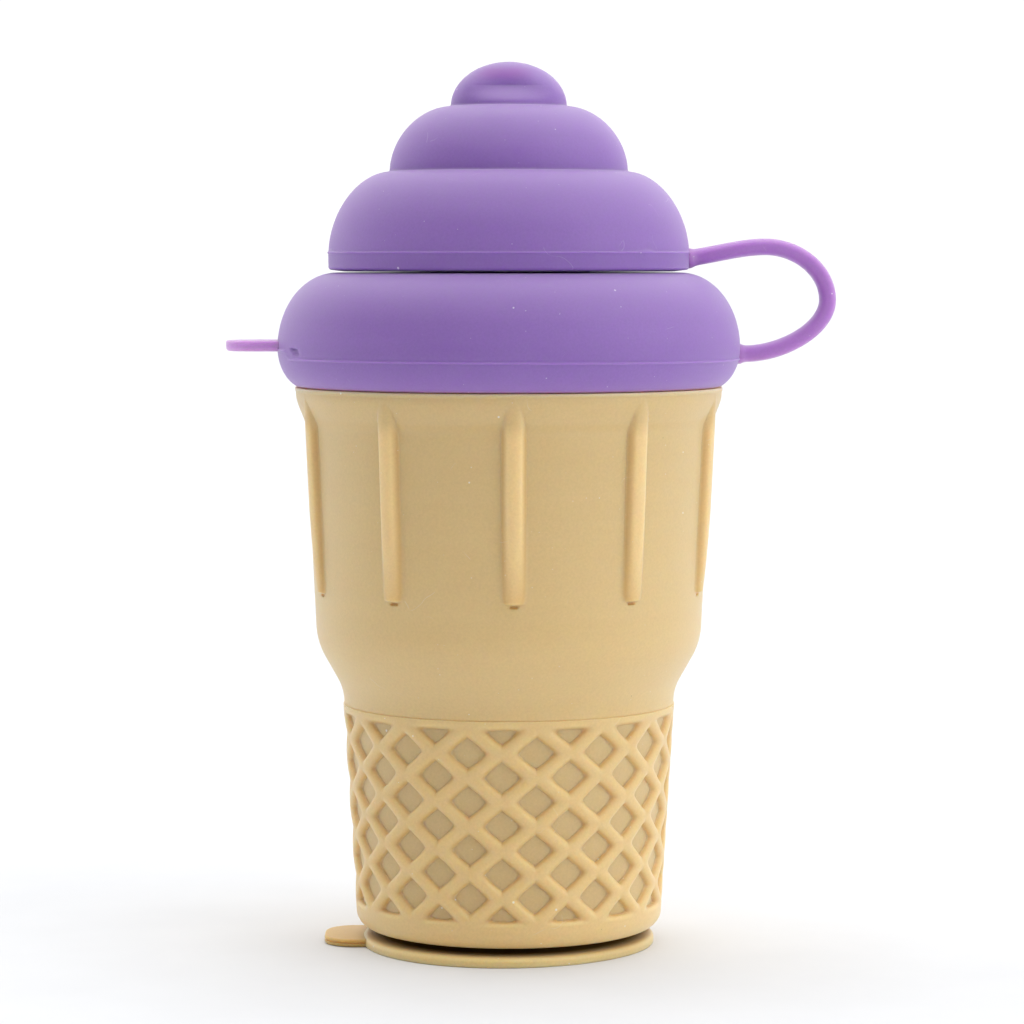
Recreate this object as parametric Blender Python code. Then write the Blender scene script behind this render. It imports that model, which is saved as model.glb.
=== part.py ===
"""A silicone cup shaped like a soft-serve cone, in metres with +Z up and its front towards -Y.

The tan cup stands on a thin suction foot. The purple lid is one moulding: a round ring that grips the
cup's rim, a swirl cap that covers the ring's mouth, the strap between the two, and a pull tab.
"""

import math

import bmesh
import bpy
from mathutils import Vector
from mathutils.geometry import interpolate_bezier

# Sizes are in millimetres, measured from the cup's axis and from the floor. The meshes are made in metres.
MM = 0.001

# Lid
RING_RADIUS = 40.0
RING_WIDEST_Z = 103.15
RING_TOP_Z = 116.0
RING_SHOULDER_RADIUS = 29.7
RING_FOOT_Z = 96.5
RING_LOWER_CURVE = (5.24, 7.1)
DECK = 2.65
CEILING_RADIUS = 29.5
MOUTH_RADIUS = 20.0
CAP_TOP_Z = 152.3
CAP_TIERS = ((10.15, 144.5), (20.7, 133.25), (31.25, 119.15))
CAP_FOOT_Z = 116.45
CAP_WALL = 2.4
CAP_EDGE = 0.7
SCOOP_DEPTH = 1.7
SCOOP_HALF_WIDTH = 6.0
SCOOP_Z = (147.4, 151.3)
TAB_REACH = 48.87
TAB_HALF_WIDTH = 6.5
TAB_Z = (102.5, 104.35)
STRAP_REACH = 56.45
STRAP_THICKNESS = 2.85
STRAP_WIDTH = 5.6
STRAP_START_Z = 118.3
STRAP_TOP = (44.6, 120.35)
STRAP_SIDE_Z = 111.3
STRAP_END = (40.8, 101.95)

# Cup
RIM_Z = 109.7
NECK_RADIUS = 34.9
FLANGE_RADIUS = 36.9
FLANGE_Z = 96.2
SHOULDER = ((36.8, 95.3), (34.89, 88.95))
WALL_FOOT = (33.3, 55.9)
WALL = 2.2
WAIST_CONVEX = 12.0
WAIST_CONCAVE = 8.7
WAIST_FOOT = (28.5, 41.95)
WAIST_ANGLE = 30.0
WAFFLE_TOP = (28.64, 41.6)
WAFFLE_FOOT = (26.35, 5.8)
BASE_CORNER = 3.0
FLOOR = 2.65
INNER_CORNER = 3.0
CLEARANCE = 0.3

# Waffle pockets
COLUMNS = 15
COLUMN_ANGLE = -2.34
ROWS = 7
FIRST_ROW_Z = 36.27
ROW_STEP = 4.11
POCKET_DEPTH = 1.1
POCKET_FLOOR_SHARE = 0.645
POCKET_MOUTH_SHARE = 0.845
PANEL_WALL = 1.6

# Ribs
RIBS = 10
RIB_ANGLE = 1.45
RIB_HALF_WIDTH = 1.9
RIB_HEIGHT = 1.4
RIB_Z = (61.8, 94.6)
RIB_ROOT = 0.8

# Suction foot
FOOT_RADIUS = 25.7
FOOT_RIM = 1.65
FOOT_NECK_RADIUS = 12.0
FOOT_NECK_RISE = 0.4
DISH_RADIUS = 23.3
DISH_DEPTH = 1.0
FOOT_TAB_REACH = 32.0
FOOT_TAB_HALF_WIDTH = 7.6
FOOT_TAB_Z = (0.3, 1.5)

CUP_SIDES = 45
LID_SIDES = 44

# The cup's axis is moved so that the tab and the strap reach equally far from the origin.
AXIS_X = (TAB_REACH - STRAP_REACH) / 2


def arc(centre, size, start, end, steps):
    """Points (radius, z) on an ellipse, from one angle to another in degrees; 0 points outwards and 90 up."""
    angles = [math.radians(start + (end - start) * i / steps) for i in range(steps + 1)]
    return [(centre[0] + size[0] * math.cos(a), centre[1] + size[1] * math.sin(a)) for a in angles]


def around(angle, radius, z):
    """A point at an angle in degrees from the front, positive towards the strap, in metres."""
    turn = math.radians(angle)
    return Vector((radius * math.sin(turn), -radius * math.cos(turn), z)) * MM


def turned(profile, sides, phase=0.0, loop=False, shape=None):
    """A body turned about the axis from (radius, z) points. A point at radius 0 becomes one pole."""
    mesh = bmesh.new()
    angles = [phase + 360.0 * i / sides for i in range(sides)]
    rings = []
    for radius, z in profile:
        if radius == 0:
            rings.append([mesh.verts.new(around(0, 0, z))])
            continue
        ring = []
        for angle in angles:
            inset = shape(angle, radius, z) if shape else 0.0
            ring.append(mesh.verts.new(around(angle, radius - inset, z)))
        rings.append(ring)
    pairs = list(zip(rings, rings[1:]))
    if loop:
        pairs.append((rings[-1], rings[0]))
    for upper, lower in pairs:
        for i in range(sides):
            j = (i + 1) % sides
            corners = [upper[i % len(upper)], upper[j % len(upper)], lower[j % len(lower)], lower[i % len(lower)]]
            mesh.faces.new(list(dict.fromkeys(corners)))
    bmesh.ops.recalc_face_normals(mesh, faces=mesh.faces)
    return mesh


def lofted(mesh, sections):
    """Adds a closed body through rings of points in metres, each ring with the same number of points."""
    rings = [[mesh.verts.new(point) for point in section] for section in sections]
    count = len(rings[0])
    for lower, upper in zip(rings, rings[1:]):
        for i in range(count):
            j = (i + 1) % count
            mesh.faces.new((lower[i], lower[j], upper[j], upper[i]))
    mesh.faces.new(rings[0])
    mesh.faces.new(rings[-1])


def silicone(name, colour):
    material = bpy.data.materials.new(name)
    material.use_nodes = True
    shader = material.node_tree.nodes["Principled BSDF"]
    shader.inputs["Base Color"].default_value = (*colour, 1.0)
    shader.inputs["Roughness"].default_value = 0.55
    shader.inputs["Metallic"].default_value = 0.0
    return material


def placed(name, mesh, parent, material=None):
    """An object of this mesh on the cup's axis."""
    data = bpy.data.meshes.new(name)
    mesh.to_mesh(data)
    mesh.free()
    made = bpy.data.objects.new(name, data)
    bpy.context.scene.collection.objects.link(made)
    made.parent = parent
    if material:
        data.materials.append(material)
        data.shade_smooth()
        data.set_sharp_from_angle(angle=math.radians(40))
    else:
        made.hide_render = True
        made.display_type = "WIRE"
    return made


def boolean(target, tool, operation, solver="EXACT"):
    modifier = target.modifiers.new(tool.name, "BOOLEAN")
    modifier.operation = operation
    modifier.object = tool
    modifier.solver = solver


def line_radius(z, top, foot):
    """The radius at a height on the straight line between two (radius, z) points, or beyond them."""
    return foot[0] + (top[0] - foot[0]) * (z - foot[1]) / (top[1] - foot[1])


def shoulder_points(steps):
    """The S-curve from the flange down to the upper wall."""
    (top_radius, top_z), (foot_radius, foot_z) = SHOULDER
    points = []
    for i in range(steps + 1):
        share = i / steps
        ease = share * share * (3 - 2 * share)
        points.append((top_radius + (foot_radius - top_radius) * ease, top_z + (foot_z - top_z) * share))
    return points


def waist_points(inset, steps):
    """The S-curve from the upper wall in to the waffle part, moved inwards by inset."""
    convex = WAIST_CONVEX - inset
    concave = WAIST_CONCAVE + inset
    upper = arc((WALL_FOOT[0] - WAIST_CONVEX, WALL_FOOT[1]), (convex, convex), 0, -WAIST_ANGLE, steps)
    centre = (WAIST_FOOT[0] + WAIST_CONCAVE, WAIST_FOOT[1])
    lower = arc(centre, (concave, concave), 180 - WAIST_ANGLE, 180, steps)
    return upper + lower


def cup_profile():
    """From the middle of the inner floor, up the inside, over the rim and down to the middle of the underside."""
    base_z = WAFFLE_FOOT[1] - BASE_CORNER
    floor_z = base_z + FLOOR
    inner_foot = WAFFLE_FOOT[0] - POCKET_DEPTH - PANEL_WALL
    corner_centre = (inner_foot - INNER_CORNER, floor_z + INNER_CORNER)
    inside = [(0, floor_z)] + arc(corner_centre, (INNER_CORNER, INNER_CORNER), -90, 0, 2)
    inside += list(reversed(waist_points(WALL, 2)))
    inside.append((SHOULDER[1][0] - WALL, SHOULDER[1][1]))
    edge = 0.5
    inside += [(NECK_RADIUS - WALL, RIM_Z - edge), (NECK_RADIUS - WALL + edge, RIM_Z)]
    outside = [(NECK_RADIUS - edge, RIM_Z), (NECK_RADIUS, RIM_Z - edge), (NECK_RADIUS, FLANGE_Z)]
    outside += [(FLANGE_RADIUS - edge / 2, FLANGE_Z), (FLANGE_RADIUS, FLANGE_Z - edge / 2)]
    outside += shoulder_points(5) + waist_points(0, 3)
    corner_centre = (WAFFLE_FOOT[0] - BASE_CORNER, WAFFLE_FOOT[1])
    outside += [WAFFLE_TOP] + arc(corner_centre, (BASE_CORNER, BASE_CORNER), 0, -90, 3)
    return inside + outside + foot_points(base_z)


def foot_points(base_z):
    """The hidden neck under the cup and the suction disc, hollowed to a shallow dish below."""
    edge = 0.4
    points = [(FOOT_NECK_RADIUS, base_z), (FOOT_NECK_RADIUS, FOOT_RIM + FOOT_NECK_RISE)]
    points += [(FOOT_RADIUS - edge, FOOT_RIM), (FOOT_RADIUS, FOOT_RIM - edge), (FOOT_RADIUS, edge / 2)]
    points += [(FOOT_RADIUS - edge / 2, 0.0)]
    for share in (1.0, 0.6):
        points.append((DISH_RADIUS * share, DISH_DEPTH * (1 - share * share)))
    return points + [(0, DISH_DEPTH)]


def pocket_cutter():
    """Every pocket of the waffle part: diamonds in rows that step half a column, and half ones at both ends."""
    mesh = bmesh.new()
    step_angle = 360.0 / COLUMNS
    half_angle = step_angle / 2
    clear = 0.35
    slope = (POCKET_MOUTH_SHARE - POCKET_FLOOR_SHARE) / POCKET_DEPTH
    levels = ((-POCKET_DEPTH, POCKET_FLOOR_SHARE), (clear, POCKET_MOUTH_SHARE + slope * clear))
    for row in range(-1, ROWS + 1):
        z = FIRST_ROW_Z - row * ROW_STEP
        up = 0 if row == -1 else ROW_STEP
        down = 0 if row == ROWS else ROW_STEP
        for column in range(COLUMNS):
            angle = COLUMN_ANGLE + step_angle * column + (half_angle if row % 2 == 0 else 0)
            sections = []
            for out, share in levels:
                corners = ((0, -down), (half_angle, 0), (0, up), (-half_angle, 0))
                points = []
                for turn, rise in corners:
                    height = z + rise * share
                    radius = line_radius(height, WAFFLE_TOP, WAFFLE_FOOT) + out
                    points.append(around(angle + turn * share, radius, height))
                sections.append(points)
            lofted(mesh, sections)
    # Fixed splits fold each diamond along its upright diagonal, so that it bends round the cup.
    bmesh.ops.triangulate(mesh, faces=mesh.faces, quad_method="FIXED")
    bmesh.ops.recalc_face_normals(mesh, faces=mesh.faces)
    return mesh


def rib_section(angle, z, narrow, height):
    """A rounded trapezoid across one rib, its root sunk into the wall."""
    wall = line_radius(z, SHOULDER[1], WALL_FOOT)
    outline = ((1.0, -RIB_ROOT), (1.0, 0.0), (0.8, 0.75), (0.45, 1.0))
    points = []
    for side in (-1, 1):
        for across, out in outline if side < 0 else reversed(outline):
            rise = out if out < 0 else out * height
            turn = math.degrees(side * across * narrow * RIB_HALF_WIDTH / wall)
            points.append(around(angle + turn, wall + rise, z))
    return points


def rounded_plate(reach, root, half_width, corner, z, steps=5):
    """Outline of a flat tab towards -X at one height, square at its root and round at its end."""
    points = []
    for side in (1, -1):
        centre_y = side * (half_width - corner)
        for i in range(steps + 1):
            turn = math.radians(90 * (i if side > 0 else steps - i) / steps)
            x = -(reach - corner + corner * math.sin(turn))
            points.append(Vector((x, centre_y + side * corner * math.cos(turn), z)) * MM)
    outline = [Vector((-root, half_width, z)) * MM] + points + [Vector((-root, -half_width, z)) * MM]
    return outline


def cup_additions():
    """The ribs and the foot's pull tab, joined to the cup by one union."""
    mesh = bmesh.new()
    low, high = RIB_Z
    for i in range(RIBS):
        angle = RIB_ANGLE + 360.0 * i / RIBS
        sections = [rib_section(angle, low, 0.72, RIB_HEIGHT * 0.92)]
        sections += [rib_section(angle, z, 1.0, RIB_HEIGHT) for z in (low + 1.8, high)]
        lofted(mesh, sections)
    low, high = FOOT_TAB_Z
    root = FOOT_RADIUS - 2.6
    edge = 0.3
    outlines = ((edge, low), (0, low + edge), (0, high - edge), (edge, high))
    plates = [rounded_plate(FOOT_TAB_REACH - inset, root, FOOT_TAB_HALF_WIDTH - inset, 6.0, z) for inset, z in outlines]
    lofted(mesh, plates)
    bmesh.ops.recalc_face_normals(mesh, faces=mesh.faces)
    return mesh


def cap_profile():
    """From the top down the three tiers, round the lower edge and back up the inside."""
    outside = []
    inside = []
    top_z = CAP_TOP_Z
    centre = 0.0
    inner_centre = 0.0
    for radius, base_z in CAP_TIERS:
        inner_radius = radius - CAP_WALL
        outer = arc((centre, base_z), (radius - centre, top_z - base_z), 90, 0, 5)
        inner_size = (inner_radius - inner_centre, top_z - CAP_WALL - base_z)
        inner = arc((inner_centre, base_z), inner_size, 90, 0, 2)
        outside += outer if centre == 0 else outer[1:]
        inside += inner
        top_z = base_z
        centre = radius
        inner_centre = inner_radius
    outside[0] = (0, outside[0][1])
    inside[0] = (0, inside[0][1])
    radius = CAP_TIERS[-1][0]
    edge_centre = (radius - CAP_EDGE, CAP_FOOT_Z + CAP_EDGE)
    outside += arc(edge_centre, (CAP_EDGE, CAP_EDGE), 0, -90, 2)
    inside.append((radius - CAP_WALL, CAP_FOOT_Z))
    return outside + list(reversed(inside))


def scoop(angle, radius, z):
    """How far the hollow under the cap's tip cuts in at the front, deepest just above its lower ledge."""
    low, high = SCOOP_Z
    if not low < z < high or math.cos(math.radians(angle)) < 0:
        return 0.0
    across = radius * math.sin(math.radians(angle)) / SCOOP_HALF_WIDTH
    return SCOOP_DEPTH * max(0.0, 1 - across * across) * (high - z) / (high - low)


def ring_profile():
    """Round the ring's section: over the shoulder, down the outside, up the bore and out to the mouth."""
    upper_size = (RING_RADIUS - RING_SHOULDER_RADIUS, RING_TOP_Z - RING_WIDEST_Z)
    points = arc((RING_SHOULDER_RADIUS, RING_WIDEST_Z), upper_size, 90, 0, 7)
    lower_radius, lower_height = RING_LOWER_CURVE
    lowest = math.degrees(math.asin((RING_WIDEST_Z - RING_FOOT_Z) / lower_height))
    centre = (RING_RADIUS - lower_radius, RING_WIDEST_Z)
    points += arc(centre, RING_LOWER_CURVE, 0, -lowest, 4)[1:]
    bore = NECK_RADIUS + CLEARANCE
    ceiling_z = RING_TOP_Z - DECK
    points += [(bore, RING_FOOT_Z), (bore, RIM_Z + CLEARANCE), (CEILING_RADIUS, ceiling_z)]
    points += [(MOUTH_RADIUS, ceiling_z), (MOUTH_RADIUS, RING_TOP_Z)]
    return points


def strap_path():
    """Middle line of the strap, from inside the cap's wall round to inside the ring's, as (x, z) in metres."""
    side_x = STRAP_REACH - STRAP_THICKNESS / 2
    start = (CAP_TIERS[-1][0] - 1.2, STRAP_START_Z)
    end = (RING_RADIUS - 3.4, STRAP_END[1] - 0.1)
    side = (side_x, STRAP_SIDE_Z)
    spans = (
        (start, (start[0] + 5.0, start[1] + 0.6), (STRAP_TOP[0] - 4.4, STRAP_TOP[1]), STRAP_TOP, 6),
        (STRAP_TOP, (STRAP_TOP[0] + 5.7, STRAP_TOP[1]), (side_x, STRAP_SIDE_Z + 5.0), side, 8),
        (side, (side_x, STRAP_SIDE_Z - 4.9), (STRAP_END[0] + 6.4, STRAP_END[1]), STRAP_END, 8),
        (STRAP_END, (STRAP_END[0] - 1.0, STRAP_END[1]), (end[0] + 1.0, end[1]), end, 1),
    )
    path = []
    for first, first_handle, last_handle, last, steps in spans:
        corners = [Vector((x, 0, z)) * MM for x, z in (first, first_handle, last_handle, last)]
        path += interpolate_bezier(*corners, steps + 1)[1 if path else 0 :]
    return path


def strap_sections(path, corners=12, fullness=2.8):
    """A rounded oblong across each point of the path."""
    sections = []
    for i, point in enumerate(path):
        along = (path[min(i + 1, len(path) - 1)] - path[max(i - 1, 0)]).normalized()
        across = Vector((0, 1, 0)).cross(along)
        section = []
        for k in range(corners):
            turn = 2 * math.pi * k / corners
            y = math.copysign(abs(math.cos(turn)) ** (2 / fullness), math.cos(turn)) * STRAP_WIDTH / 2
            n = math.copysign(abs(math.sin(turn)) ** (2 / fullness), math.sin(turn)) * STRAP_THICKNESS / 2
            section.append(point + Vector((0, y, 0)) * MM + across * n * MM)
        sections.append(section)
    return sections


def lid_additions():
    """The strap and the pull tab, joined to the cap and the ring by one union."""
    mesh = bmesh.new()
    lofted(mesh, strap_sections(strap_path()))
    low, high = TAB_Z
    edge = 0.35
    root = RING_RADIUS - 3.0
    outlines = ((edge, low), (0, low + edge), (0, high - edge), (edge, high))
    plates = [rounded_plate(TAB_REACH - inset, root, TAB_HALF_WIDTH - inset, 5.5, z) for inset, z in outlines]
    lofted(mesh, plates)
    bmesh.ops.recalc_face_normals(mesh, faces=mesh.faces)
    return mesh


def lid_mesh():
    """The cap and the ring, which the strap will join."""
    mesh = turned(cap_profile(), LID_SIDES, shape=scoop)
    ring = turned(ring_profile(), LID_SIDES, loop=True)
    data = bpy.data.meshes.new("ring")
    ring.to_mesh(data)
    ring.free()
    mesh.from_mesh(data)
    bpy.data.meshes.remove(data)
    return mesh


def main():
    for old in list(bpy.data.objects):
        bpy.data.objects.remove(old)
    axis = bpy.data.objects.new("axis", None)
    bpy.context.scene.collection.objects.link(axis)
    axis.location.x = AXIS_X * MM

    tan = silicone("tan_silicone", (0.60, 0.43, 0.22))
    cup = placed("cup", turned(cup_profile(), CUP_SIDES, phase=COLUMN_ANGLE), axis, tan)
    boolean(cup, placed("cup_additions", cup_additions(), axis), "UNION")
    # The exact solver leaves open edges where the pockets' corners meet the cup's own edges.
    boolean(cup, placed("waffle_pockets", pocket_cutter(), axis), "DIFFERENCE", "MANIFOLD")

    purple = silicone("purple_silicone", (0.26, 0.15, 0.46))
    lid = placed("lid", lid_mesh(), axis, purple)
    boolean(lid, placed("strap_and_tab", lid_additions(), axis), "UNION")


main()
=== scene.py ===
import math

import bpy
import numpy as np
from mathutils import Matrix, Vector


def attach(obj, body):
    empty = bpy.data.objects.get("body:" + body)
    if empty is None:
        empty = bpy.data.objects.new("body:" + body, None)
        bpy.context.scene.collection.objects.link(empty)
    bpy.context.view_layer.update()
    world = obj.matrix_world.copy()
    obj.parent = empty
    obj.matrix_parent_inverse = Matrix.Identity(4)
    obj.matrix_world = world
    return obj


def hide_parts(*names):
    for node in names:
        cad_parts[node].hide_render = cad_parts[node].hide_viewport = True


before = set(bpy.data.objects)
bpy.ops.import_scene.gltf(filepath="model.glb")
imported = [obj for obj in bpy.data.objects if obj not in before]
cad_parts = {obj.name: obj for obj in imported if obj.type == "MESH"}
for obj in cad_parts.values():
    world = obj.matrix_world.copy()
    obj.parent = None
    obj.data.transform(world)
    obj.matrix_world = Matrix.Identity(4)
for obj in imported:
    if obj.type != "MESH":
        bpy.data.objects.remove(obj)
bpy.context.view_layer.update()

# Sizes are in millimetres, measured from the cup's axis and from the floor, as in the part's source.
MM = 0.001
AXIS_X = (48.87 - 56.45) / 2

# Lid
RING_RADIUS = 39.78
RING_WIDEST_Z = 103.15
RING_TOP_Z = 116.02
RING_SHOULDER_RADIUS = 29.58
RING_FOOT_Z = 96.55
RING_LOWER_CURVE = (5.24, 7.1)
RING_SEAM_Z = 101.5
RING_SEAM_DROP = 0.3
RING_SEAM_CLIMB = 1.4
RING_SEAM_CLIMB_ANGLES = (21.5, 17.5)
RING_OUTSIDE_RADIUS = 37.5
NOTCH_ANGLE = 295.3
NOTCH_HALF_ANGLE = 2.6
NOTCH_Z = 102.85
NOTCH_HALF_HEIGHT = 0.85
NOTCH_DEPTH = 0.5
DECK = 2.65
CEILING_RADIUS = 29.5
MOUTH_RADIUS = 20.0
CAP_TOP_Z = 152.05
CAP_TIERS = ((9.95, 144.45, 2.0), (20.45, 133.27, 1.88), (31.0, 119.17, 1.86))
CAP_FOOT = ((30.95, 116.55), (28.4, 116.22), (26.6, 116.22))
CAP_WALL = 2.4
CAP_SEAM_Z = 119.43
CAP_OUTSIDE_RADIUS = 30.0
GATE_ANGLE = 47.2
GATE_HALF_WIDTH = 2.6
CREASE = 0.45
SCOOP_DEPTH = 2.0
SCOOP_HALF_WIDTH = 7.4
SCOOP_FOOT_HALF_WIDTH = 8.0
SCOOP_Z = (147.8, 151.35)
SCOOP_FOOT_Z = 144.6
TAB_REACH = 48.63
TAB_HALF_WIDTH = 6.5
TAB_CORNER = 5.5
TAB_Z = (102.57, 104.4)
STRAP_REACH = 56.28
STRAP_THICKNESS = 2.85
STRAP_WIDTH = 5.6
STRAP_START_Z = 118.35
STRAP_TOP = (44.1, 120.42)
STRAP_SIDE_Z = 111.3
STRAP_END = (40.8, 102.08)
STRAP_ROOTS_X = (31.2, 39.8)
STRAP_FLARE_LENGTH = 1.3
STRAP_FLARE_GROWTH = 0.22

# Cup
RIM_Z = 109.7
NECK_RADIUS = 34.9
FLANGE_RADIUS = 36.78
FLANGE_Z = 96.42
LIP_Z = (95.85, 95.68)
SHOULDER = ((36.66, 95.4), (34.89, 88.95))
WALL_FOOT = (33.3, 55.9)
WALL = 2.2
WAIST_CONVEX = 12.0
WAIST_CONCAVE = 8.7
WAIST_FOOT = (28.5, 41.95)
WAIST_ANGLE = 30.0
WAFFLE_TOP = (28.66, 41.66)
WAFFLE_FOOT = (26.46, 5.85)
BASE_CORNER = 2.95
BASE_Z = WAFFLE_FOOT[1] - BASE_CORNER
INSIDE_FLOOR_Z = BASE_Z + 2.65
INNER_FOOT_RADIUS = 23.55

# Waffle relief
COLUMNS = 15
COLUMN_ANGLE = -2.34
FIRST_ROW_Z = 36.27
ROW_STEP = 4.11
POCKET_DEPTH = 1.05
POCKET_END_WIDTHS = (0.65, 0.7)
RIDGE_SPACING = 3.3
RIDGE_HALF_WIDTH = 1.22
POCKET_Z = (6.95, 41.0)

# Ribs
RIBS = 10
RIB_ANGLE = 1.45
RIB_TOP_HALF = 1.1
RIB_BASE_HALF = 2.2
RIB_HEIGHT = 1.5
RIB_FADE = 0.6
RIB_FADE_Z = (80.0, 62.7)
RIB_CROWN = 0.22
RIB_RUN_OUT = 1.8
RIB_END_Z = (61.85, 61.5)
RIB_PIT_Z = (61.65, 60.95)
RIB_PIT_DEPTH = 0.42
RIB_PIT_HALF = 0.85

# Suction foot
FOOT_RADIUS = 25.15
FOOT_BULGE = 1.4
FOOT_BULGE_ANGLE = -24.0
FOOT_BULGE_FOCUS = 2.5
FOOT_BULGE_FULL_RADIUS = 20.0
FOOT_RIM = 1.72
FOOT_NECK = (12.0, 1.75)
DISH_RADIUS = 23.3
DISH_DEPTH = 1.0
FOOT_TAB_REACH = 32.0
FOOT_TAB_HALF_WIDTH = 7.3
FOOT_TAB_CORNER = 5.2
FOOT_TAB_BACK = 0.3
FOOT_TAB_Z = (0.05, 1.38)

# Mesh columns all round, and rows to one step of the waffle
CUP_COLUMNS = 480
LID_COLUMNS = 288
ROWS_PER_CELL = 16

# Colours as linear red, green and blue; each silicone has a lighter and a deeper tone
TAN = ((0.72, 0.532, 0.25), (0.70, 0.512, 0.233))
# Painted light: paler rib faces
TAN_RIB_LIGHT = (0.84, 0.625, 0.30)
# Painted light: a paler line on the lip, lifting the shade in the joint under the lid
TAN_LIP_LIGHT = (0.86, 0.65, 0.44)
# Painted shade: browner down the sides of ribs, in the pits and round the pockets
TAN_SIDE_SHADE = (0.66, 0.385, 0.095)
# Painted shade: darker pocket floors
TAN_POCKET_SHADE = (0.64, 0.47, 0.232)
# Painted shade: dark in the gap under the cup
TAN_UNDER_SHADE = (0.16, 0.075, 0.01)
TAN_TAB = ((0.645, 0.425, 0.148), (0.625, 0.405, 0.138))
PURPLE = ((0.317, 0.179, 0.515), (0.30, 0.165, 0.495))
# Painted sheen: paler upward faces of the lid
PURPLE_TOP_SHEEN = (0.38, 0.27, 0.535)
# Painted glow: redder in the scoop, where light passes through the thin wall
PURPLE_SCOOP_GLOW = (0.335, 0.118, 0.455)
# Painted shade colour: red-brown along the shaded foot of the ring
PURPLE_FOOT_SHADE = (0.55, 0.22, 0.26)
# Painted light: the strap and the lid's tab are lighter copies of the purple, for light passing through them
PURPLE_STRAP_LIT = ((0.475, 0.232, 0.60), (0.455, 0.215, 0.58))
PURPLE_TAB_LIT = ((0.60, 0.345, 0.67), (0.58, 0.325, 0.65))
DUST = (0.88, 0.86, 0.84)

# How far light spreads inside each silicone, in millimetres for red, green and blue
TAN_SPREAD = (2.2, 1.5, 0.8)
PURPLE_SPREAD = (1.4, 0.7, 1.7)
THIN_SPREAD = (1.8, 0.9, 2.0)

# Camera, in metres, fitted to the waffle rows, the foot's edge and the tiers
CAMERA_DISTANCE = 0.6442
CAMERA_HEIGHT = 0.11863
CAMERA_ASIDE = 0.00055
CAMERA_PITCH = 0.06805
CAMERA_LENS = 131.38


def arc(centre, size, start, end, steps):
    """Points (radius, z) on an ellipse, from one angle to another in degrees; 0 points outwards and 90 up."""
    angles = [math.radians(start + (end - start) * i / steps) for i in range(steps + 1)]
    return [(centre[0] + size[0] * math.cos(a), centre[1] + size[1] * math.sin(a)) for a in angles]


def line_radius(z, top, foot):
    """The radius at a height on the straight line between two (radius, z) points, or beyond them."""
    return foot[0] + (top[0] - foot[0]) * (z - foot[1]) / (top[1] - foot[1])


def smooth(value):
    """0 below 0, 1 above 1 and an S-curve between."""
    share = np.clip(value, 0.0, 1.0)
    return share * share * (3 - 2 * share)


def rounded(points, size, steps=4, loop=False):
    """The corners of a line of points replaced by curves that start size before each corner."""
    count = len(points)
    made = [] if loop else [points[0]]
    for i in range(0 if loop else 1, count if loop else count - 1):
        corner = Vector(points[i])
        before = Vector(points[i - 1]) - corner
        after = Vector(points[(i + 1) % count]) - corner
        reach = min(size, 0.45 * before.length, 0.45 * after.length)
        first = corner + before.normalized() * reach
        last = corner + after.normalized() * reach
        for step in range(steps + 1):
            t = step / steps
            made.append(tuple(first * (1 - t) ** 2 + corner * 2 * t * (1 - t) + last * t * t))
    return made if loop else made + [points[-1]]


def refined(rows, high, low, step):
    """The same line of (radius, z) points, going down, with more of them between two heights."""
    levels = np.arange(high, low, -step)
    made = [rows[0]]
    for (r0, z0), (r1, z1) in zip(rows, rows[1:]):
        if z0 > z1:
            between = [float(z) for z in levels if z1 + 0.01 < z < z0 - 0.01]
            made += [(r0 + (r1 - r0) * (z0 - z) / (z0 - z1), z) for z in between]
        made.append((r1, z1))
    return made


def bulge(centre, size, power, steps):
    """A quarter of a superellipse, from the top outwards and down."""
    points = []
    for i in range(steps + 1):
        turn = math.radians(90 - 90 * i / steps)
        across = max(0.0, math.cos(turn)) ** (2 / power)
        up = max(0.0, math.sin(turn)) ** (2 / power)
        points.append((centre[0] + size[0] * across, centre[1] + size[1] * up))
    return points


def linked(name, vertices, faces, material, node):
    """One piece of the model from points in millimetres, standing for part of a CAD node."""
    data = bpy.data.meshes.new(name)
    shifted = np.asarray(vertices, dtype=np.float64) + (AXIS_X, 0.0, 0.0)
    data.from_pydata((shifted * MM).tolist(), [], faces)
    data.validate()
    data.materials.append(material)
    data.shade_smooth()
    data.set_sharp_from_angle(angle=math.radians(38))
    piece = bpy.data.objects.new(name, data)
    bpy.context.scene.collection.objects.link(piece)
    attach(piece, "root")
    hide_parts(node)
    return piece


def turned(radius, angle, z, closed=False, diagonal=None):
    """Vertices and faces of a surface from rows and columns of (radius, angle in degrees, z).

    Rows run from the top of the outside downwards. A row whose radius is 0 becomes one pole. diagonal,
    where given, is 1 or -1 for each cell that is split in two triangles, and 0 where it stays whole.
    """
    rows, columns = radius.shape
    turn = np.radians(angle)
    heights = np.broadcast_to(z, radius.shape)
    points = np.stack([radius * np.sin(turn), -radius * np.cos(turn), heights], axis=-1)
    starts = []
    vertices = []
    total = 0
    for row in range(rows):
        starts.append(total)
        if np.all(radius[row] == 0):
            vertices.append(points[row, :1])
            total += 1
        else:
            vertices.append(points[row])
            total += columns
    vertices = np.concatenate(vertices)
    faces = []
    for row in range(rows if closed else rows - 1):
        below = (row + 1) % rows
        pole = [np.all(radius[k] == 0) for k in (row, below)]
        for i in range(columns):
            j = (i + 1) % columns
            a, b = (starts[row], starts[row]) if pole[0] else (starts[row] + i, starts[row] + j)
            d, c = (starts[below], starts[below]) if pole[1] else (starts[below] + i, starts[below] + j)
            split = 0 if diagonal is None else diagonal[row, i]
            if a == b:
                faces.append((a, d, c))
            elif c == d:
                faces.append((a, d, b))
            elif split > 0:
                faces += [(a, d, c), (a, c, b)]
            elif split < 0:
                faces += [(a, d, b), (b, d, c)]
            else:
                faces.append((a, d, c, b))
    return vertices, faces


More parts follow.
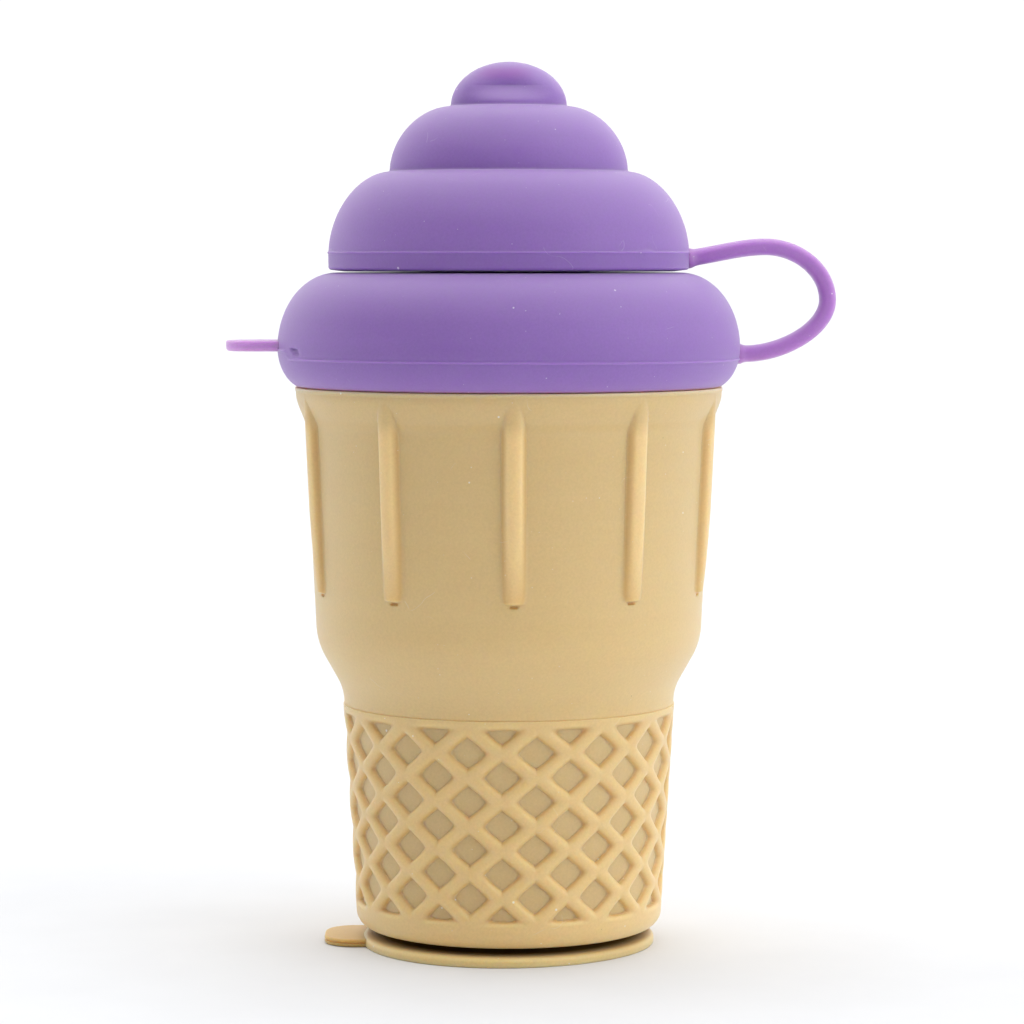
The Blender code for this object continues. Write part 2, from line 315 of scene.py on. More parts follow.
def lofted(sections):
    """Vertices and faces of a closed body through rings of points, each capped by a fan."""
    rings = [np.asarray(section, dtype=np.float64) for section in sections]
    count = len(rings[0])
    vertices = np.concatenate(rings + [rings[0].mean(axis=0)[None], rings[-1].mean(axis=0)[None]])
    faces = []
    for ring in range(len(rings) - 1):
        for i in range(count):
            j = (i + 1) % count
            faces.append((ring * count + i, ring * count + j, (ring + 1) * count + j, (ring + 1) * count + i))
    first, last = len(vertices) - 2, len(vertices) - 1
    base = (len(rings) - 1) * count
    for i in range(count):
        j = (i + 1) % count
        faces.append((first, j, i))
        faces.append((last, base + i, base + j))
    return vertices, faces


# The cup

def waist(inset, steps):
    """The S-curve from the wall in to the waffle part, moved inwards by inset."""
    convex = WAIST_CONVEX - inset
    concave = WAIST_CONCAVE + inset
    upper = arc((WALL_FOOT[0] - WAIST_CONVEX, WALL_FOOT[1]), (convex, convex), 0, -WAIST_ANGLE, steps)
    centre = (WAIST_FOOT[0] + WAIST_CONCAVE, WAIST_FOOT[1])
    return upper + arc(centre, (concave, concave), 180 - WAIST_ANGLE, 180, steps)[1:]


def cup_rows():
    """(radius, z) rows from the middle of the inner floor over the rim to the middle of the underside."""
    corner = (INNER_FOOT_RADIUS - 3.0, INSIDE_FLOOR_Z + 3.0)
    inside = [(0.0, INSIDE_FLOOR_Z), (10.0, INSIDE_FLOOR_Z)] + arc(corner, (3.0, 3.0), -90, 0, 3)
    inside += list(reversed(waist(WALL, 3)))
    inside.append((SHOULDER[1][0] - WALL, SHOULDER[1][1]))
    rim = [(NECK_RADIUS - WALL, RIM_Z - 1.5), (NECK_RADIUS - WALL, RIM_Z), (NECK_RADIUS, RIM_Z)]
    rim += [(NECK_RADIUS, FLANGE_Z + 0.2), (NECK_RADIUS + 0.1, FLANGE_Z)]
    lip = [(FLANGE_RADIUS, FLANGE_Z), (FLANGE_RADIUS, LIP_Z[0]), (SHOULDER[0][0], LIP_Z[1]), SHOULDER[0]]
    rows = inside + rounded(rim + lip, 0.22, 2)
    (top_radius, top_z), (foot_radius, foot_z) = SHOULDER
    shoulder_steps = 22
    for i in range(1, shoulder_steps + 1):
        share = i / shoulder_steps
        in_by = (foot_radius - top_radius) * float(smooth(share))
        rows.append((top_radius + in_by, top_z + (foot_z - top_z) * share))
    coarse = np.linspace(foot_z, 64.8, 11)[1:]
    fine = np.linspace(64.8, 60.4, 45)[1:]
    for z in np.concatenate([coarse, fine, [58.2]]):
        rows.append((line_radius(z, SHOULDER[1], WALL_FOOT), float(z)))
    rows += waist(0.0, 12)
    edge_z = WAFFLE_TOP[1]
    rows += [(WAIST_FOOT[0] - 0.08, edge_z + 0.2), (WAIST_FOOT[0] - 0.06, edge_z + 0.12)]
    rows += [(WAFFLE_TOP[0] - 0.02, edge_z + 0.05)]
    step = ROW_STEP / ROWS_PER_CELL
    rows_above, rows_below = 20, 117
    for k in range(rows_above, -rows_below - 1, -1):
        z = FIRST_ROW_Z + k * step
        rows.append((line_radius(z, WAFFLE_TOP, WAFFLE_FOOT), z))
    rows += arc((WAFFLE_FOOT[0] - BASE_CORNER, WAFFLE_FOOT[1]), (BASE_CORNER, BASE_CORNER), 0, -90, 8)
    neck = [(23.25, BASE_Z), (FOOT_NECK[0], BASE_Z), FOOT_NECK, (FOOT_RADIUS - 0.9, FOOT_RIM)]
    neck += [(FOOT_RADIUS - 0.3, FOOT_RIM - 0.16), (FOOT_RADIUS, FOOT_RIM - 0.6)]
    neck += [(FOOT_RADIUS, 0.0), (DISH_RADIUS + 0.3, 0.0)]
    rows += rounded(neck, 0.3, 3)[1:]
    for share in (1.0, 0.85, 0.6, 0.3):
        rows.append((DISH_RADIUS * share, DISH_DEPTH * (1 - share * share)))
    return rows + [(0.0, DISH_DEPTH)]


def from_rib(angle, z):
    """How far round the wall each point lies from the middle of the nearest rib."""
    off = (angle - RIB_ANGLE + 180.0 / RIBS) % (360.0 / RIBS) - 180.0 / RIBS
    return np.abs(np.radians(off)) * line_radius(z, SHOULDER[1], WALL_FOOT)


def rib_rise(angle, z):
    """How far each point of the wall stands out on a rib, or a large negative number off the ribs."""
    across = from_rib(angle, z)
    run_out = np.clip((RIB_END_Z[0] + RIB_RUN_OUT - z) / RIB_RUN_OUT, 0.0, 1.0) ** 2
    end = np.clip((RIB_END_Z[0] - z) / (RIB_END_Z[0] - RIB_END_Z[1]), 0.0, 1.0)
    base = RIB_BASE_HALF - 0.35 * run_out - 0.8 * end
    top = np.minimum(RIB_TOP_HALF - 0.1 * run_out - 0.45 * end, base - 0.3)
    flank = np.clip((across - top) / (base - top), 0.0, 1.0)
    crown = RIB_CROWN * np.minimum(across / top, 1.0) ** 2
    fade = np.clip((RIB_FADE_Z[0] - z) / (RIB_FADE_Z[0] - RIB_FADE_Z[1]), 0.0, 1.2) ** 2.2
    height = RIB_HEIGHT - RIB_FADE * fade - crown
    rise = height * (1 - 0.55 * flank - 0.45 * smooth(flank))
    return np.where(across < base, rise * (1 - end), -10.0)


def rib_pit(angle, z):
    """The small pit in the wall just under each rib's cut end."""
    high, low = RIB_PIT_Z
    upright = smooth((z - low) / 0.25) * smooth((high - z) / 0.2)
    return RIB_PIT_DEPTH * upright * smooth((RIB_PIT_HALF - from_rib(angle, z)) / 0.3)


def foot_bulge(angle, radius):
    """How much further the suction foot reaches out at its front left."""
    facing = np.clip(np.cos(np.radians(angle - FOOT_BULGE_ANGLE)), 0.0, 1.0) ** FOOT_BULGE_FOCUS
    outwards = (radius - FOOT_NECK[0]) / (FOOT_BULGE_FULL_RADIUS - FOOT_NECK[0])
    return FOOT_BULGE * facing * smooth(outwards)


def lattice(angle, z):
    """(distance from the nearest ridge's middle line, sign of the cell's quarter) on the waffle part."""
    turn = (angle - COLUMN_ANGLE) / (180.0 / COLUMNS)
    row = (FIRST_ROW_Z - z) / ROW_STEP
    far = 9.0
    best = np.full(np.broadcast(turn, row).shape, far)
    away = np.zeros_like(best)
    down = np.zeros_like(best)
    for i in (0, 1):
        for j in (0, 1):
            column_index = np.floor(turn) + i
            row_index = np.floor(row) + j
            odd = (column_index + row_index) % 2 == 1
            a = turn - column_index
            b = row - row_index
            reach = np.where(odd, np.abs(a) + np.abs(b), far)
            nearer = reach < best
            best = np.where(nearer, reach, best)
            away = np.where(nearer, a, away)
            down = np.where(nearer, b, down)
    wide = np.sqrt(away ** 2 + 0.03 ** 2) + 0.93 * np.sqrt(down ** 2 + 0.14 ** 2)
    return RIDGE_SPACING * (1 - wide), np.sign(away * down)


def pocket(angle, z):
    """How deep each point of the waffle part lies below its ridges."""
    distance, _ = lattice(angle, z)
    from_top = (POCKET_Z[1] - z) / POCKET_END_WIDTHS[0]
    from_foot = (z - POCKET_Z[0]) / POCKET_END_WIDTHS[1]
    upright = np.minimum(from_top, from_foot)
    flank = np.clip(distance / RIDGE_HALF_WIDTH, 0.02, 4.0)
    upright = np.clip(upright, 0.02, 4.0)
    share = np.clip((flank ** -2 + upright ** -2) ** -0.5 * 1.06, 0.0, 1.0)
    return POCKET_DEPTH * (1 - np.sqrt(1 - share ** 2.4))


def columns_of(rows):
    """The radii and the heights of (radius, z) rows, each as an array of one column."""
    pairs = np.array(rows, dtype=np.float64)
    return pairs[:, :1], pairs[:, 1:]


def make_cup(material):
    """The cup in one mesh. Its columns are even on the waffle part and drawn towards the ribs above it."""
    rows = cup_rows()
    radius, z = columns_of(rows)
    rim_row = next(i for i, row in enumerate(rows) if row[1] > RIM_Z - 0.1)
    outside = (np.arange(len(rows)) > rim_row)[:, None]
    even = COLUMN_ANGLE + 360.0 / CUP_COLUMNS * np.arange(CUP_COLUMNS)[None, :]
    pull = smooth((z - 50.0) / 8.0) * np.sin(np.radians(RIBS * (even - RIB_ANGLE)))
    angle = even - np.degrees(0.6 * pull / RIBS)
    surface = np.broadcast_to(radius, angle.shape).copy()
    ribbed = outside & (z < SHOULDER[0][1] + 0.1) & (z > RIB_END_Z[1])
    on_rib = line_radius(z, SHOULDER[1], WALL_FOOT) + rib_rise(angle, z)
    surface = np.where(ribbed, np.maximum(surface, on_rib), surface)
    on_foot = outside & (z < FOOT_NECK[1] + 0.01)
    surface = np.where(on_foot, surface + foot_bulge(angle, surface), surface)
    surface = np.where(outside, surface - rib_pit(angle, z), surface)
    waffled = outside & (z < WAFFLE_TOP[1]) & (z > WAFFLE_FOOT[1] + 0.2)
    surface = np.where(waffled, surface - pocket(angle, z), surface)
    middle_angle = even + 180.0 / CUP_COLUMNS
    below = np.vstack([z[1:], z[:1]])
    _, quarter = lattice(middle_angle, (z + below) / 2)
    diagonal = np.where(waffled, -quarter, 0)
    vertices, faces = turned(surface, angle, z, diagonal=diagonal)
    return linked("cup_body", vertices, faces, material, "cup")


def plate(reach, root, half_width, corner, profile, steps=12):
    """Rings round a flat tab towards -X. profile gives (inset, z) from the bottom up."""
    sections = []
    for inset, z in profile:
        points = [(-root, half_width - inset, z)]
        for side in (1, -1):
            for i in range(steps + 1):
                turn = math.radians(90 * (i if side > 0 else steps - i) / steps)
                x = -(reach - corner + (corner - inset) * math.sin(turn))
                y = side * (half_width - corner + (corner - inset) * math.cos(turn))
                points.append((x, y, z))
        points.append((-root, -(half_width - inset), z))
        sections.append(points)
    return sections


def make_foot_tab(material):
    low, high = FOOT_TAB_Z
    groove_z = low + 0.66
    profile = [(0.3, low), (0.1, low + 0.1), (0.0, low + 0.3), (0.02, low + 0.5), (0.12, low + 0.6)]
    profile += [(0.2, groove_z), (0.12, groove_z + 0.06), (0.0, groove_z + 0.18), (0.0, high - 0.3)]
    profile += [(0.08, high - 0.14), (0.25, high - 0.04), (0.5, high)]
    sections = plate(FOOT_TAB_REACH, FOOT_RADIUS - 1.2, FOOT_TAB_HALF_WIDTH, FOOT_TAB_CORNER, profile)
    vertices, faces = lofted(sections)
    vertices = vertices + (0.0, FOOT_TAB_BACK, 0.0)
    return linked("foot_tab", vertices, faces, material, "cup")


# The lid

def crease(first, second, size=CREASE, steps=6):
    """Two runs of points that meet in a sharp corner, joined by a small curve."""
    corner = Vector(first[-1])
    while len(first) > 1 and (Vector(first[-1]) - corner).length < size:
        first = first[:-1]
    while len(second) > 1 and (Vector(second[0]) - corner).length < size:
        second = second[1:]
    start = corner + (Vector(first[-1]) - corner).normalized() * size
    end = corner + (Vector(second[0]) - corner).normalized() * size
    curve = []
    for step in range(steps + 1):
        t = step / steps
        curve.append(tuple(start * (1 - t) ** 2 + corner * 2 * t * (1 - t) + end * t * t))
    return first + curve + second


def cap_rows():
    """From the top down the three tiers, round the lower edge and back up the inside."""
    outside = []
    inside = []
    top_z = CAP_TOP_Z
    centre = 0.0
    for radius, base_z, power in CAP_TIERS:
        outer = bulge((centre, base_z), (radius - centre, top_z - base_z), power, 44)
        outside = crease(outside, outer) if outside else outer
        inner_centre = max(0.0, centre - CAP_WALL)
        inner_size = (radius - CAP_WALL - inner_centre, top_z - CAP_WALL - base_z)
        inside += arc((inner_centre, base_z), inner_size, 90, 0, 4)
        top_z = base_z
        centre = radius
    outside[0] = (0.0, outside[0][1])
    inside[0] = (0.0, inside[0][1])
    outside = refined(outside, SCOOP_Z[1] + 0.3, SCOOP_FOOT_Z - 0.2, 0.1)
    outside = refined(outside, CAP_SEAM_Z + 0.9, CAP_SEAM_Z - 0.9, 0.07)
    foot = [outside[-1], (CAP_TIERS[-1][0], CAP_FOOT[0][1]), CAP_FOOT[1]]
    outside += rounded(foot, 0.55, 6)[1:]
    inside.append(CAP_FOOT[2])
    return outside, list(reversed(inside))


def scoop(angle, radius, z):
    """How far the hollow under the cap's tip cuts in at the front, deepest along a level line."""
    low, high = SCOOP_Z
    lower = smooth((low + 0.3 - z) / 1.8)
    half_width = SCOOP_HALF_WIDTH + (SCOOP_FOOT_HALF_WIDTH - SCOOP_HALF_WIDTH) * lower
    across = radius * np.sin(np.radians(angle)) / half_width
    inner = np.clip(1 - across ** 2, 0.0, 1.0)
    rise = (high - low) * inner ** 0.5 + 0.3
    share = np.clip((low + rise - z) / rise, 0.0, 1.0)
    sweep = smooth((z - SCOOP_FOOT_Z) / (low - SCOOP_FOOT_Z))
    depth = SCOOP_DEPTH * share ** 1.15 * inner ** 1.4 * sweep
    return np.where(np.cos(np.radians(angle)) > 0, depth, 0.0)


def seam(z, at, height=0.2, half_width=0.18):
    """The low moulding line that stands out where the two halves of the mould met."""
    return height * np.exp(-((z - at) / half_width) ** 2)


def make_cap(material):
    outside, inside = cap_rows()
    rows = outside + inside
    radius, z = columns_of(rows)
    outer = (np.arange(len(rows)) < len(outside))[:, None]
    angle = 360.0 / LID_COLUMNS * np.arange(LID_COLUMNS)[None, :]
    surface = np.broadcast_to(radius, (len(rows), LID_COLUMNS)).copy()
    pole = radius == 0
    surface = surface - np.where(outer & ~pole, scoop(angle, radius, z), 0.0)
    from_gate = np.abs(np.radians(angle - GATE_ANGLE)) * CAP_TIERS[-1][0]
    gate = np.clip(1 - from_gate / GATE_HALF_WIDTH, 0.0, 1.0)
    line = seam(z, CAP_SEAM_Z, 0.17 + 0.12 * gate, 0.2 + 0.3 * gate)
    surface = surface + np.where(outer & (radius > CAP_OUTSIDE_RADIUS), line, 0.0)
    surface = np.where(pole, 0.0, surface)
    vertices, faces = turned(surface, np.broadcast_to(angle, surface.shape), z)
    return linked("lid_cap", vertices, faces, material, "lid")


def ring_rows():
    """Round the ring's section: over the shoulder, down the outside, up the bore and out to the mouth."""
    upper_size = (RING_RADIUS - RING_SHOULDER_RADIUS, RING_TOP_Z - RING_WIDEST_Z)
    rows = arc((RING_SHOULDER_RADIUS, RING_WIDEST_Z), upper_size, 90, 0, 48)
    lower_radius, lower_height = RING_LOWER_CURVE
    lowest = math.degrees(math.asin((RING_WIDEST_Z - RING_FOOT_Z) / lower_height))
    rows += arc((RING_RADIUS - lower_radius, RING_WIDEST_Z), RING_LOWER_CURVE, 0, -lowest, 40)[1:]
    rows = refined(rows, RING_WIDEST_Z + 1.6, RING_SEAM_Z - 0.9, 0.08)
    bore = NECK_RADIUS + 0.3
    ceiling_z = RING_TOP_Z - DECK
    hidden = [rows[-1], (bore, RING_FOOT_Z), (bore, RIM_Z + 0.3), (CEILING_RADIUS, ceiling_z)]
    hidden += [(MOUTH_RADIUS, ceiling_z), (MOUTH_RADIUS, RING_TOP_Z), rows[0]]
    return rows[:-1] + rounded(hidden, 0.3, 3)[:-1]


def ring_seam_z(angle):
    """The height of the ring's moulding line, which climbs to the tab at the left."""
    from_tab = np.abs((angle - 270.0 + 180.0) % 360.0 - 180.0)
    right = np.clip(np.sin(np.radians(angle)), 0.0, 1.0)
    start, end = RING_SEAM_CLIMB_ANGLES
    climb = RING_SEAM_CLIMB * smooth((start - from_tab) / (start - end))
    return RING_SEAM_Z + climb - RING_SEAM_DROP * right


def notch(angle, z):
    """The small wedge missing from the ring beside the tab, deepest and cut off short at its right end."""
    beside = (angle - NOTCH_ANGLE) / NOTCH_HALF_ANGLE
    height = (z - NOTCH_Z) / NOTCH_HALF_HEIGHT + 0.45 * beside
    wedge = np.clip(1.0 - np.abs(height) - 0.7 * np.clip(-beside, 0.0, 2.0), 0.0, 1.0)
    return NOTCH_DEPTH * smooth(wedge * smooth((1.0 - beside) / 0.4) * 1.8)


def make_ring(material):
    radius, z = columns_of(ring_rows())
    angle = 360.0 / LID_COLUMNS * np.arange(LID_COLUMNS)[None, :]
    relief = seam(z, ring_seam_z(angle)) - notch(angle, z)
    surface = radius + np.where(radius > RING_OUTSIDE_RADIUS, relief, 0.0)
    vertices, faces = turned(surface, np.broadcast_to(angle, surface.shape), z, closed=True)
    return linked("lid_ring", vertices, faces, material, "lid")


def bezier(corners, steps):
    """Points on the curve through the first and last of four corners."""
    points = []
    for i in range(steps + 1):
        t = i / steps
        weights = ((1 - t) ** 3, 3 * t * (1 - t) ** 2, 3 * t * t * (1 - t), t ** 3)
        points.append(sum((Vector(c) * w for c, w in zip(corners, weights)), Vector((0, 0))))
    return points


def strap_path():
    """Middle line of the strap as (x, z), from inside the cap's wall round to inside the ring's."""
    side_x = STRAP_REACH - STRAP_THICKNESS / 2
    start = (CAP_TIERS[-1][0] - 0.9, STRAP_START_Z)
    end = (RING_RADIUS - 3.4, STRAP_END[1] - 0.1)
    side = (side_x, STRAP_SIDE_Z)
    spans = (
        (start, (start[0] + 5.0, start[1] + 0.6), (STRAP_TOP[0] - 4.4, STRAP_TOP[1]), STRAP_TOP, 30),
        (STRAP_TOP, (STRAP_TOP[0] + 5.7, STRAP_TOP[1]), (side_x, STRAP_SIDE_Z + 5.0), side, 30),
        (side, (side_x, STRAP_SIDE_Z - 4.9), (STRAP_END[0] + 6.4, STRAP_END[1]), STRAP_END, 30),
        (STRAP_END, (STRAP_END[0] - 1.0, STRAP_END[1]), (end[0] + 1.0, end[1]), end, 8),
    )
    path = []
    for first, first_handle, last_handle, last, steps in spans:
        path += bezier((first, first_handle, last_handle, last), steps)[1 if path else 0:]
    return path


def make_strap(material, corners=48, fullness=2.8):
    """A band of rounded section along the strap's path, a little thicker at both roots."""
    path = strap_path()
    sections = []
    for i, point in enumerate(path):
        along = (path[min(i + 1, len(path) - 1)] - path[max(i - 1, 0)]).normalized()
        root_x = STRAP_ROOTS_X[0] if i < len(path) / 2 else STRAP_ROOTS_X[1]
        flare = min(1.0, max(0.0, 1 - (point.x - root_x) / STRAP_FLARE_LENGTH))
        grow = 1 + STRAP_FLARE_GROWTH * flare ** 2
        section = []
        for k in range(corners):
            turn = 2 * math.pi * k / corners
            across = math.copysign(abs(math.cos(turn)) ** (2 / fullness), math.cos(turn))
            outward = math.copysign(abs(math.sin(turn)) ** (2 / fullness), math.sin(turn))
            y = across * STRAP_WIDTH / 2 * grow
            n = outward * STRAP_THICKNESS / 2 * grow
            section.append((point.x + along.y * n, y, point.y - along.x * n))
        sections.append(section)
    vertices, faces = lofted(sections)
    return linked("lid_strap", vertices, faces, material, "lid")


def make_lid_tab(material):
    low, high = TAB_Z
    profile = [(0.75, low), (0.3, low + 0.1), (0.08, low + 0.3), (0.0, low + 0.6), (0.0, high - 0.35)]
    profile += [(0.05, high - 0.17), (0.15, high - 0.05), (0.35, high)]
    vertices, faces = lofted(plate(TAB_REACH, RING_RADIUS - 3.0, TAB_HALF_WIDTH, TAB_CORNER, profile))
    return linked("lid_tab", vertices, faces, material, "lid")


# Materials

class Nodes:
    """A few short ways to add and join shader nodes."""

    def __init__(self, tree):
        self.tree = tree

    def add(self, kind, inputs=None, **settings):
        node = self.tree.nodes.new(kind)
        for key, value in settings.items():
            setattr(node, key, value)
        for key, value in (inputs or {}).items():
            if isinstance(value, bpy.types.NodeSocket):
                self.tree.links.new(value, node.inputs[key])
            else:
                node.inputs[key].default_value = value
        return node

    def link(self, output, socket):
        self.tree.links.new(output, socket)

    def maths(self, operation, first, second=0.0, third=0.0, clamp=False):
        inputs = {0: first, 1: second, 2: third}
        return self.add("ShaderNodeMath", inputs, operation=operation, use_clamp=clamp).outputs[0]

    def times(self, first, second):
        return self.maths("MULTIPLY", first, second)

    def noise(self, coordinates, scale, detail=3.0, roughness=0.5):
        inputs = {"Vector": coordinates, "Scale": scale, "Detail": detail, "Roughness": roughness}
        return self.add("ShaderNodeTexNoise", inputs).outputs["Fac"]

    def mapped(self, coordinates, **settings):
        return self.add("ShaderNodeMapping", {"Vector": coordinates, **settings}).outputs[0]

    def mix(self, factor, first, second, blend="MIX"):
        """Two colours mixed, each a socket or three plain numbers."""
        colours = [(*value, 1.0) if isinstance(value, tuple) else value for value in (first, second)]
        inputs = {0: factor, 6: colours[0], 7: colours[1]}
        return self.add("ShaderNodeMix", inputs, data_type="RGBA", blend_type=blend).outputs[2]

    def grey(self, value):
        return self.add("ShaderNodeCombineColor", {0: value, 1: value, 2: value}).outputs[0]

    def between(self, value, low, high, to_low=0.0, to_high=1.0):
        inputs = {0: value, 1: low, 2: high, 3: to_low, 4: to_high}
        return self.add("ShaderNodeMapRange", inputs).outputs[0]


def axis_radius(nodes, place):
    """The distance from the cup's upright axis."""
    along = nodes.maths("ADD", place.outputs[0], -AXIS_X)
    square = nodes.maths("ADD", nodes.times(along, along), nodes.maths("POWER", place.outputs[1], 2.0))
    return nodes.maths("SQRT", square)


def under_cup(nodes, mm):
    """1 deep in the gap between the base and the suction foot, 0 outside it; the mask of the painted shade
    there.
    """
    place = nodes.add("ShaderNodeSeparateXYZ", {0: mm})
    inwards = nodes.between(axis_radius(nodes, place), 25.7, 21.5)
    return nodes.times(inwards, nodes.between(place.outputs[2], 3.4, 2.9))


def outside_line(nodes, place, top, foot):
    """How far the surface lies outside the straight wall between two (radius, z) points."""
    slope = (top[0] - foot[0]) / (top[1] - foot[1])
    wall = nodes.maths("MULTIPLY_ADD", place.outputs[2], slope, foot[0] - slope * foot[1])
    return nodes.maths("SUBTRACT", axis_radius(nodes, place), wall)


def cup_tints(nodes, mm, base, gap):
    """Painted light and shade on the cup: paler rib faces and lip line, browner painted shade down the sides
    of ribs, in the pits and round the pockets, darker pocket floors, dark under the cup, and lighter towards
    the foot.
    """
    place = nodes.add("ShaderNodeSeparateXYZ", {0: mm})
    z = place.outputs[2]
    on_wall = nodes.times(nodes.between(z, 60.0, 61.0), nodes.between(z, 91.5, 89.0))
    rise = outside_line(nodes, place, SHOULDER[1], WALL_FOOT)
    # Painted light: the rib faces are made paler
    rib = nodes.times(nodes.between(rise, 0.35, 1.25), on_wall)
    root = nodes.times(nodes.between(rise, 0.03, 0.35), on_wall)
    flank = nodes.maths("SUBTRACT", root, rib, clamp=True)
    pit = nodes.times(nodes.between(rise, -0.12, -0.45), on_wall)
    on_waffle = nodes.times(nodes.between(z, 7.0, 7.6), nodes.between(z, 41.4, 40.8))
    sunk = nodes.times(outside_line(nodes, place, WAFFLE_TOP, WAFFLE_FOOT), -1.0)
    floor = nodes.times(nodes.between(sunk, 0.75, POCKET_DEPTH - 0.02), on_waffle)
    side = nodes.times(nodes.between(sunk, 0.12, 0.7), on_waffle)
    edge = nodes.maths("SUBTRACT", side, floor, clamp=True)
    # Painted shade down the rib sides, in the pits under the rib ends and round the pockets
    painted_shade = nodes.maths("MAXIMUM", nodes.times(edge, 0.5), nodes.times(flank, 0.55))
    painted_shade = nodes.maths("MAXIMUM", painted_shade, nodes.times(pit, 0.7))
    # Painted light: the colour grows lighter towards the foot, standing in for light from below
    painted_light_below = nodes.grey(nodes.between(z, 80.0, 4.0, 1.0, 1.16))
    base = nodes.mix(1.0, base, painted_light_below, "MULTIPLY")
    base = nodes.mix(rib, base, TAN_RIB_LIGHT)
    # Painted light: a paler line along the top of the lip, lifting the shade in the joint
    base = nodes.mix(nodes.times(nodes.between(z, 95.85, 96.2), 0.6), base, TAN_LIP_LIGHT)
    base = nodes.mix(painted_shade, base, TAN_SIDE_SHADE)
    # Painted shade: the pocket floors are made darker
    base = nodes.mix(nodes.times(floor, 0.55), base, TAN_POCKET_SHADE)
    # Painted shade: dark in the gap between the base and the suction foot
    return nodes.mix(nodes.times(gap, 0.9), base, TAN_UNDER_SHADE)


def lid_tints(nodes, mm, base):
    """Painted light and shade on the lid: a redder painted glow in the scoop, a painted red-brown shade along
    the ring's foot, and a paler painted sheen on upward faces.
    """
    x, y, z = nodes.add("ShaderNodeSeparateXYZ", {0: mm}).outputs
    # Painted glow: redder inside the scoop, for light passing through the thin wall there
    upright = nodes.times(nodes.between(z, 148.4, 149.6), nodes.between(z, 151.6, 150.4))
    across = nodes.maths("ABSOLUTE", nodes.maths("ADD", x, 1.0 - AXIS_X))
    front = nodes.times(nodes.between(y, -1.5, -4.5), nodes.between(across, 5.8, 2.5))
    scoop_glow = nodes.times(nodes.times(upright, front), 0.65)
    # Painted sheen: upward faces made paler, as if whitened by the light from above
    normal = nodes.add("ShaderNodeNewGeometry").outputs["Normal"]
    upward = nodes.add("ShaderNodeSeparateXYZ", {0: normal}).outputs[2]
    base = nodes.mix(nodes.times(nodes.between(upward, 0.3, 0.9), 0.38), base, PURPLE_TOP_SHEEN)
    base = nodes.mix(scoop_glow, base, PURPLE_SCOOP_GLOW)
    # Painted shade colour: a warm red-brown along the ring's shaded foot, in the joint with the cup
    foot_shade = nodes.times(nodes.between(z, 96.9, RING_FOOT_Z), 0.6)
    return nodes.mix(foot_shade, base, PURPLE_FOOT_SHADE)


def specks(nodes, mm, scale, size, rarity, seed):
    """Round specks in some of the cells of a grid, of random size."""
    shifted = nodes.mapped(mm, Location=(seed, seed * 1.7, seed * 0.6))
    cells = nodes.add("ShaderNodeTexVoronoi", {"Vector": shifted, "Scale": scale})
    chance = nodes.add("ShaderNodeSeparateColor", {0: cells.outputs["Color"]}).outputs[0]
    reach = nodes.times(nodes.maths("POWER", chance, rarity), size * scale)
    inside = nodes.maths("SUBTRACT", reach, cells.outputs["Distance"])
    return nodes.between(inside, 0.0, 0.04 * scale)


def lint(nodes, mm):
    """A few faint bent fibres: the edges of large warped cells, kept only in small patches."""
    bent = nodes.mapped(mm, Rotation=(0.7, 0.4, 0.2))
    waves = nodes.add("ShaderNodeTexNoise", {"Vector": bent, "Scale": 0.16, "Detail": 1.0}).outputs["Color"]
    push = (7.0, 7.0, 7.0)
    pushed = nodes.add("ShaderNodeVectorMath", {0: waves, 1: push}, operation="MULTIPLY").outputs[0]
    moved = nodes.add("ShaderNodeVectorMath", {0: bent, 1: pushed}, operation="ADD").outputs[0]
    cells = nodes.add("ShaderNodeTexVoronoi", {"Vector": moved, "Scale": 0.11}, feature="DISTANCE_TO_EDGE")
    fibre = nodes.between(cells.outputs["Distance"], 0.0012, 0.005, 1.0, 0.0)
    patch = nodes.between(nodes.noise(mm, 0.12, 2.0), 0.66, 0.69)
    return nodes.times(nodes.times(fibre, patch), 0.3)


